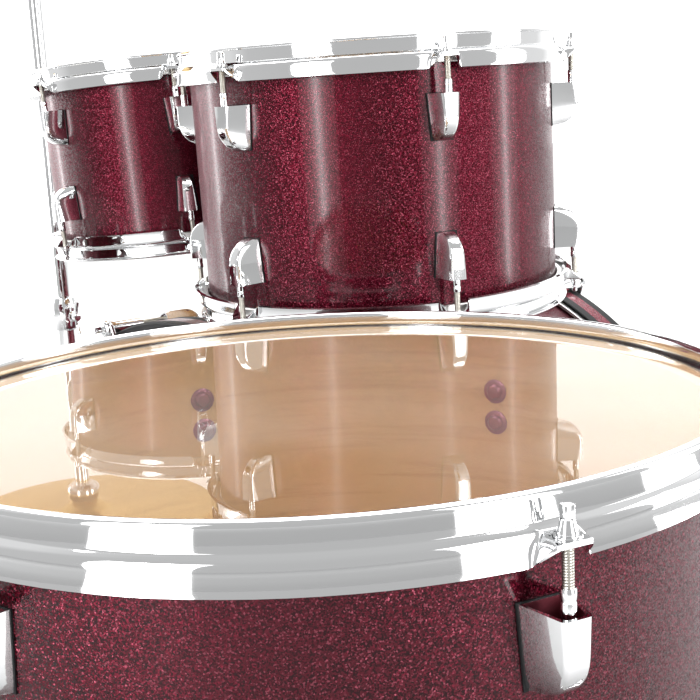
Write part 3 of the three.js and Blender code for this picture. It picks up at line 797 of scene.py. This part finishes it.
def add_leg(i, radius, face):
    """Bracket on the shell, bent leg and rubber foot, in the plane of one of the tom's radii."""
    leg_x, floor = radius + 27, -FLOOR_TOM_MIDDLE[2]
    foot_x = leg_x + 34
    bracket = Piece(f"leg_bracket_{i}_casting", [CHROME])
    bracket.add(box((5, 40, 60), (radius + 3.4, 0, -52), 2.2))
    bracket.add(ring(6.6, 11.6, -23.5, -11.5, (0.6, 1), 40), at(leg_x, 0, 0))
    bracket.add(ring(6.95, 12.8, -80, -24, (1.3, 1.5), 48), at(leg_x, 0, 0))
    bracket.add(box((20, 17, 46), (radius + 14, 0, -52), 4))
    bracket.add(box((14, 13, 18), (leg_x + 13, 0, -52), 3.2))
    bracket.add(wing_bolt(40, 8), at(leg_x + 19, 0, -52) @ turn("Y", 90))
    screw = turned([(0, 0), (3.8, 0), (3.5, 1.6), (0, 2.6)], 24)
    for y in (-15, 15):
        for z in (-74, -30):
            bracket.add(screw, at(radius + 5.8, y, z) @ turn("Y", 90))
    bracket.done(face, "kit", "chrome", (f"leg_bracket_{i}",))
    bar = [(leg_x, 0, 40), (leg_x, 0, floor + 150), (foot_x, 0, floor + 60), (foot_x, 0, floor + 12)]
    leg = Piece(f"leg_{i}_rod", [CHROME]).add(tube(bar, BAR_R, 28, 40))
    leg.done(face, f"floor_leg_{i}", "chrome", (f"leg_{i}",))
    foot = [(0, 0), (14.6, 0), (15.8, 1.4), (16, 4), (14.6, 12), (14.9, 14), (13.8, 20), (14.1, 22),
            (13, 33), (11.5, 38.5), (9.5, 40), (6.4, 40), (6.4, 13), (0, 13)]
    Piece(f"foot_{i}_tip", [RUBBER]).add(turned(foot, 48), at(foot_x, 0, floor)).done(
        face, f"floor_leg_{i}", "black_rubber", (f"foot_{i}",))


# ---- snare drum and stand ----

def tripod(height, spread, legs, leg_radius):
    """Legs of two bars each, braced to the tube, with rubber tips; legs are their angles in degrees."""
    parts = []
    brace = height * 0.45
    for spin in legs:
        foot = Vector((spread, 0, 14))
        braced = (spread * 0.55, 0, 14 + (height - 14) * 0.45)
        for hand in (-1, 1):
            bar = [(12, hand * 6, height), (spread - 14, hand * 6, 24)]
            parts.append(moved(tube(bar, leg_radius * 0.55, 16), turn("Z", spin)))
        parts.append(moved(tube([(12, 0, brace), braced], leg_radius * 0.6, 16), turn("Z", spin)))
        aim = along(Vector((12, 0, height)), foot)
        tip = [(0, -26), (7.5, -26), (9, -24), (10, -4), (12.2, 2), (12.8, 8), (11, 12.4), (0, 13)]
        parts.append(moved(turned(tip, 36, 1), turn("Z", spin) @ at(spread - 2, 0, 14.5) @ aim))
        parts.append(moved(box((16, 18, 12), (14, 0, height), 3), turn("Z", spin)))
        parts.append(moved(box((12, 14, 10), (13, 0, brace), 2.5), turn("Z", spin)))
    return merged(parts)


def add_snare_wires(place):
    z = -SNARE_DEPTH / 2 - HEAD_LIFT - 1.1
    wires = Piece("snare_wire_strip", [STEEL, CHROME])
    for k in range(20):
        y = -19 + 2 * k
        wires.add(tube([(-140, y, z), (140, y, z)], 0.75, 8))
    for x in (-144, 144):
        wires.add(box((12, 42, 1.6), (x, 0, z), 0.6, 2, 1))
    wires.done(place, "kit", "wire_steel", ("snare_wires",))


def add_strainer(throw):
    """Throw lever and its housing, and the plate that holds the wires on the far side."""
    lever = Piece("strainer_throw_lever", [CHROME, RUBBER])
    lever.add(box((7, 20, 50), (SNARE_R + 9.5, 0, 6), 2.6))
    lever.add(box((22, 11, 7), (SNARE_R + 21, 0, 28), 2.8))
    lever.add(level([(4.5, 12), (0, 12)], 32), at(SNARE_R + 9.5, 0, -16) @ turn("X", 90))
    lever.add(box((9, 12.4, 8.2), (SNARE_R + 28, 0, 28), 3, 3, 1))
    lever.done(throw, "strainer", "chrome", ("strainer_lever",))
    housing = Piece("strainer_casting", [CHROME])
    housing.add(box((4.2, 30, 64), (SNARE_R + 2.4, 0, 2), 1.8))
    for y in (14.5, -14.5):
        housing.add(box((13, 7, 20), (SNARE_R + 9, y, -18), 2.4))
    housing.add(turned([(0, 0), (6.2, 0), (6.6, 2), (6.2, 7), (0, 8)], 40), at(SNARE_R + 9, 14.5, -8))
    housing.add(box((8, 28, 40), (SNARE_R + 4.4, 0, 0), 2.6), turn("Z", 180))
    housing.done(throw, "kit", "chrome")


def add_snare_stand():
    rest = SNARE_MIDDLE[2] - SNARE_DEPTH / 2 - 14
    up = at(0, 0, rest)
    stand = Piece("snare_stand_tubes", [CHROME, RUBBER])
    stand.add(tube([(0, 0, 60), (0, 0, rest - 100)], 11, 28))
    stand.add(tube([(0, 0, -260), (0, 0, -84)], 8, 24), up)
    stand.add(ring(11, 17.5, 240, 292, (1.5, 2), 40))
    stand.add(ring(0, 15, 96, 124, (1, 2), 40))
    stand.add(turned([(8, -190), (15, -190), (16, -188), (16, -158), (14, -154), (8, -154)], 40), up)
    stand.add(wing_bolt(), at(16, 0, rest - 172) @ turn("Y", 90))
    stand.add(ring(0, 18, -104, -74, (3, 4), 40), up)
    reach = SNARE_R + 20
    for spin in (40, 160, 280):
        path = [(10, 0, rest - 86), (reach - 8, 0, rest - 27), (reach, 0, rest - 22), (reach, 0, rest + 8)]
        stand.add(tube(path, 5.4, 22, 14), turn("Z", spin))
        grip = turned([(0, 0), (7.4, 0), (8, 1.5), (8, 22), (6.4, 25), (0, 26)], 32, 1)
        stand.add(grip, turn("Z", spin) @ at(reach, 0, rest - 14))
    stand.add(tripod(238, 225, (100, 220, 340), 7))
    stand.done(at(SNARE_MIDDLE[0], SNARE_MIDDLE[1], 0), "kit", "chrome", ("snare_stand",))


def add_snare():
    place = at(*SNARE_MIDDLE)
    drum("snare", SNARE_R, SNARE_DEPTH, 8, 0, place, "kit", (COATED, FILM), SNARE_LUG_LENGTH)
    add_snare_wires(place)
    add_strainer(place @ turn("Z", 202.5))
    add_snare_stand()


# ---- hi-hat ----

def cymbal():
    """Bell, bow and edge, z 0 near the edge; 1.15 mm thick."""
    top = smooth_path([(6, 20), (12, 19.9), (18, 19), (28, 14.6), (36, 10.4), (44, 9.2), (80, 6.9),
                       (120, 4.5), (150, 2.6), (HAT_R - 1, 0.15)])
    under = [(r, z - 1.15) for r, z in top[::-1]]
    return turned([*top, (HAT_R, -0.5), *under], 120)


def footboard(heel, toe):
    """Ribbed plate from heel to toe, each a (y, z), with its hinge along the heel."""
    (heel_y, heel_z), (toe_y, toe_z) = heel, toe
    length = math.hypot(toe_y - heel_y, toe_z - heel_z)
    parts = [box((74, length - 8, 4.6), (0, length / 2, 0), 1.8),
             box((76, 6, 14), (0, length - 3.4, 5.6), 2.2)]
    for k in range(9):
        parts.append(box((56, 4.2, 2.4), (0, 34 + k * (length - 70) / 8, 2.8), 1.0, 2))
    for side in (-1, 1):
        parts.append(box((4, length - 16, 8), (side * 35, length / 2, 0.5), 1.6))
    parts.append(moved(ring(0, 6, -38, 38, (0.8, 1), 36), turn("Y", 90)))
    slope = math.degrees(math.atan2(toe_z - heel_z, toe_y - heel_y))
    return moved(merged(parts), at(0, heel_y, heel_z) @ turn("X", slope))


def base_plate(y_low, y_high, width):
    """Plate on the floor, with the ears for a footboard's hinge at its low end."""
    parts = [box((width, y_high - y_low, 5), (0, (y_low + y_high) / 2, 3.2), 1.8)]
    for side in (-1, 1):
        parts.append(box((5, 40, 22), (side * 43.5, y_low + 24, 13), 2))
        parts.append(moved(level([(5, 3), (0, 3)], 28), at(side * 47, y_low + 15, 18) @ turn("Y", 90)))
    return merged(parts)


def add_hat_stand(place):
    """Two telescoping tubes with their clamps, the cup, the pedal's frame and the tripod."""
    stand = Piece("hihat_stand_tubes", [CHROME, RUBBER, CAST])
    stand.add(turned([(4.4, 112), (12.7, 112), (12.7, 519), (11, 520), (4.4, 520)], 48))
    stand.add(turned([(4.4, 500), (9.5, 500), (9.5, HAT_SEAT - 14), (4.4, HAT_SEAT - 14)], 40))
    stand.add(turned([(9.5, 500), (16, 500), (18, 503), (18, 534), (15, 543), (9.5, 545)], 48))
    stand.add(wing_bolt(44, 8), at(17, 0, 518) @ turn("Y", 90))
    stand.add(ring(12.7, 20.5, 262, 300, (1.5, 2), 48))
    stand.add(wing_bolt(36, 7), turn("Z", 30) @ at(20, 0, 282) @ turn("Y", 90))
    cup, felt = at(0, 0, HAT_SEAT), [(4.4, -4), (19, -4), (19.5, 2), (18, 5), (4.4, 5)]
    stand.add(turned([(4.4, -18), (16, -18), (21, -14), (22, -10), (22, -4), (4.4, -4)], 48), cup)
    stand.add(turned(felt, 48, 1), cup)
    for x in (-44, 44):
        stand.add(box((9, 58, 118), (x, 0, 63), 3.4, 3, 2))
    stand.add(box((97, 58, 12), (0, 0, 122), 3.6, 3, 2))
    stand.add(base_plate(-345, -15, 108), slot=2)
    stand.add(tripod(290, 240, (90, 210, 330), 7.6))
    stand.done(place, "kit", "chrome", ("hihat_stand",))


def add_hat_rod(place):
    """Pull rod, and the felt, nut and clutch that hold the top cymbal."""
    top = HAT_HEIGHT + HAT_GAP
    rod = Piece("hihat_rod_and_clutch", [CHROME, FELT_DARK])
    rod.add(turned([(0, 96), (2.9, 96), (3.2, 97), (3.2, top + 118), (2.2, top + 120), (0, top + 120)], 28))
    nut = [(0, 9), (11, 9), (12, 10), (12, 14), (10, 16.6), (0, 16.6)]
    felt = [(3, 21.5), (16, 21.5), (17, 24), (16, 28), (3, 28)]
    clutch = [(3, 28), (9, 28), (9.6, 31), (9, 34), (6, 35), (6, 44), (10, 46), (10.4, 56), (8, 60), (3, 60)]
    for profile, segments, slot in ((nut, 36, 0), (felt, 40, 1), (clutch, 40, 0)):
        rod.add(turned(profile, segments, slot), at(0, 0, top))
    rod.add(wing_bolt(28, 5), at(9, 0, top + 51) @ turn("Y", 90))
    rod.done(place, "hihat_top", "chrome", ("hihat_pull_rod",))


def add_hi_hat():
    place = at(*HAT, 0)
    add_hat_stand(place)
    Piece("hihat_bottom_bronze", [BRONZE]).add(cymbal(), at(0, 0, HAT_HEIGHT) @ FLIP).done(
        place, "kit", "cymbal_bronze", ("hihat_bottom_cymbal",), 60)
    Piece("hihat_top_bronze", [BRONZE]).add(cymbal(), at(0, 0, HAT_HEIGHT + HAT_GAP)).done(
        place, "hihat_top", "cymbal_bronze", ("hihat_top_cymbal",), 60)
    add_hat_rod(place)
    Piece("hihat_footboard_plate", [CAST]).add(footboard((-340, 16), (-36, 84))).done(
        place, "hihat_plate", "cast_plate", ("hihat_footboard",))


# ---- bass drum pedal ----

AXLE = (0, 0, 150)


def add_pedal_frame(place):
    """Two posts, base plate, clamp for the drum's hoop, and the return spring."""
    pedal = Piece("pedal_frame_casting", [CAST, CHROME])
    for x in (-50, 50):
        pedal.add(box((11, 25, 158), (x, 0, 80), 3.6, 4))
        pedal.add(ring(0, 11, -7, 7, (1, 1), 40, 1), at(x, 0, AXLE[2]) @ turn("Y", 90))
    pedal.add(base_plate(-315, 15, 110)).add(box((38, 13, 21), (0, 20, 11), 3))
    pedal.add(box((40, 37, 7), (0, 32, 19.8), 2.4)).add(wing_bolt(34, 8), at(0, 4, 22))
    turns, steps_per_turn = 10, 12
    angles = np.linspace(0, 2 * math.pi * turns, turns * steps_per_turn + 1)
    spring = [(62 + 5 * math.cos(t), 5 * math.sin(t), 40 + t * 1.15) for t in angles]
    pedal.add(tube(spring, 0.9, 8, 0.2, 1))
    pedal.done(place, "kit", "chrome", ("pedal_frame",))


def add_beater(place):
    """Axle with its cam, shaft, weight and felt-covered head."""
    beater = Piece("pedal_beater_and_axle", [CHROME, FELT, CAST])
    axle, tip = Vector(AXLE), Vector((0, -104, 300))
    beater.add(ring(0, 6.9, -43.4, 43.4, (0.3, 1.4), 36), at(*AXLE) @ turn("Y", 90))
    beater.add(level([(22.5, 4), (26, 7), (24, 8.5), (0, 8.5)], 56, 2), at(*AXLE) @ turn("Y", 90))
    away = (tip - axle).normalized()
    beater.add(tube([axle - away * 18, tip], 3.4, 22))
    beater.add(ring(0, 8.6, -5, 5, (0.6, 1), 36), at(0, -23, 184) @ turn("X", 34.7))
    felt = level([(24, 11), (22.5, 15), (19, 17), (0, 17)], 56, 1)
    beater.add(felt, at(*tip) @ turn("X", 234.5))
    beater.done(place, "pedal_striker", "beater_felt", ("pedal_beater",))


def add_pedal():
    place = at(0, -(BASS_L / 2 + 0.3 - 8 + 38) - 34, 0)
    add_pedal_frame(place)
    Piece("pedal_footboard_plate", [CAST]).add(footboard((-300, 18), (-34, 92))).done(
        place, "pedal_plate", "cast_plate", ("pedal_footboard",))
    add_beater(place)


# ---- floor, light and camera ----

def add_floor():
    # The floor's colour is painted shade: grey under the kit and on the camera's side, fading to white
    # toward the backdrop.
    tree = new_material("studio_floor")
    where = tree.where()

    def fade(operation, near, far, *stops):
        """Painted shade along the distance that the vector operation gives, from near to far, in metres."""
        distance = tree.node("VectorMath", where, (-0.74, 0.67, 0), operation=operation).outputs["Value"]
        return tree.ramp(tree.node("MapRange", Value=distance, From_Min=near, From_Max=far), *stops)

    # Painted shade on the camera's side: grey up to 0.9 m toward the backdrop, nearly white from 2.4 m.
    across = fade("DOT_PRODUCT", 0.9, 2.4, (0.0, 0.5), (1.0, 0.95))
    # Painted shadow under the kit: grey within 0.8 m of the kit's middle, white from 1.7 m.
    painted_shadow_under_kit = fade("LENGTH", 0.8, 1.7, (0.0, 0.5), (1.0, 1.0))
    both = tree.node("VectorMath", across, painted_shadow_under_kit, operation="MULTIPLY")
    material = tree.principled(Roughness=0.6, Base_Color=both)
    bpy.ops.mesh.primitive_plane_add(size=60, location=(0, 0, -0.0005))
    floor = bpy.context.object
    floor.name = "studio_floor"
    floor.data.materials.append(material)


def area_light(name, place, aim, size, power):
    light = bpy.data.lights.new(name, "AREA")
    light.shape = "RECTANGLE"
    light.size, light.size_y, light.energy = size[0], size[1], power
    lamp = bpy.data.objects.new(name, light)
    lamp.location = place
    lamp.rotation_euler = (Vector(aim) - Vector(place)).to_track_quat("-Z", "Y").to_euler()
    bpy.context.scene.collection.objects.link(lamp)


def add_lights():
    """An overhead, and four upright strips, each of nested widths so that its edges fade out."""
    for width, share in ((0.16, 0.2), (0.34, 0.24), (0.56, 0.22), (0.82, 0.18), (1.15, 0.16)):
        size = (width, 2.4)
        area_light("strip_left", (0.86, -2.67, 1.25), (0.05, 0.1, 0.75), size, 135 * share)
        area_light("strip_right", (2.91, -0.07, 1.3), (0.0, 0.1, 0.75), size, 105 * share)
        area_light("strip_far", (2.2, 2.04, 1.3), (0.1, 0.1, 0.75), size, 105 * share)
        area_light("strip_rear", (-2.52, -0.78, 1.3), (0.1, 0.1, 0.75), size, 80 * share)
    area_light("overhead", (-0.6, 0.6, 3.2), (0, 0, 0), (4.2, 3.4), 195)


def add_world():
    world = bpy.data.worlds.new("studio")
    bpy.context.scene.world = world
    tree = Shading(world)
    direction = tree.node("TexCoord").outputs["Generated"]

    def toward(x, y, z, *stops):
        """Shade by how far the direction leans toward (x, y, z)."""
        lean = tree.node("VectorMath", direction, (x, y, z), operation="DOT_PRODUCT").outputs["Value"]
        return tree.ramp(tree.node("Math", lean, 0.5, 0.5, operation="MULTIPLY_ADD"), *stops)

    room = toward(0.74, -0.67, 0.1, (0.0, 1.0), (0.5, 0.9), (0.62, 0.66), (1.0, 0.6))
    sweep = toward(-0.72, 0.65, 0.24, (0.0, 0.42), (0.74, 0.42), (0.9, 0.92), (1.0, 0.92))
    both = tree.node("VectorMath", room, sweep, operation="MULTIPLY")
    tree.node("OutputWorld", tree.node("Background", Color=both, Strength=2.3))


def add_camera():
    """A 58 mm lens at the player's right, a little above the floor tom, rolled 3 degrees."""
    place, lens = (877.6, -800.2, 743.5), 57.7764
    azimuth, down, roll = math.radians(138.1), 0.1927, 0.052
    ahead = Vector((math.cos(azimuth), math.sin(azimuth), 0))
    right = Vector((math.sin(azimuth), -math.cos(azimuth), 0))
    forward = ahead * math.cos(down) - Vector((0, 0, math.sin(down)))
    up = ahead * math.sin(down) + Vector((0, 0, math.cos(down)))
    side = right * math.cos(roll) - up * math.sin(roll)
    top = right * math.sin(roll) + up * math.cos(roll)
    data = bpy.data.cameras.new("camera")
    data.sensor_width, data.lens, data.clip_end = 36, lens, 100
    camera = bpy.data.objects.new("camera", data)
    spot = KIT @ Vector(place) * MM
    camera.matrix_world = Matrix((
        (side.x, top.x, -forward.x, spot.x), (side.y, top.y, -forward.y, spot.y),
        (side.z, top.z, -forward.z, spot.z), (0, 0, 0, 1)))
    bpy.context.scene.collection.objects.link(camera)
    bpy.context.scene.camera = camera


add_bass()
add_spur("left", -1)
add_spur("right", 1)
add_tom_mount()
add_mounted_tom(1, "low_tom", 6 * INCH, 8 * INCH, LOW_TOM_MIDDLE, lean=2.6, lug_turn=-24.3)
add_mounted_tom(-1, "high_tom", 5 * INCH, 7 * INCH, HIGH_TOM_MIDDLE, lean=2.9, lug_turn=-27.7)
add_floor_tom()
add_snare()
add_hi_hat()
add_pedal()
add_floor()
add_world()
add_lights()
add_camera()
bpy.context.scene.view_settings.view_transform = "Standard"
